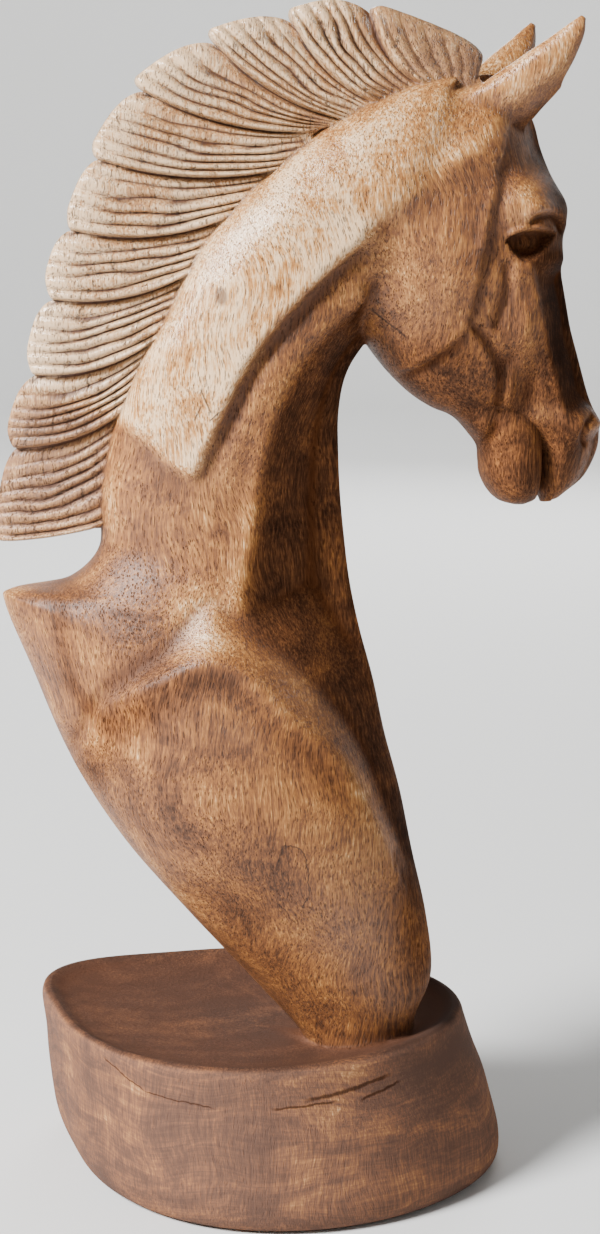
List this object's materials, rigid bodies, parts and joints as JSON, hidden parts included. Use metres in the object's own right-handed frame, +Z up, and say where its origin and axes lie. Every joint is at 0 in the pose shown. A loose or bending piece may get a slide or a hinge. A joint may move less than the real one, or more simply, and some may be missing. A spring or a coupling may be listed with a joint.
{
  "type": "carved wooden horse head bust",
  "caption": "Carved wooden horse head and neck with a fluted mane, in one piece with its rough round base; an ornament that stands on a table or floor.",
  "frame": {"origin": "middle of the whole object's footprint, on the base's underside", "axes": "+Z up, along the neck; +X the way the horse faces; +Y its left side"},
  "size_m": [0.3034, 0.211, 0.6],
  "materials": {
    "wood": "oiled hardwood, worn smooth, with open pores and tool marks"
  },
  "bodies": {
    "root": {"horse_head_bust": "wood"}
  },
  "joints": []
}
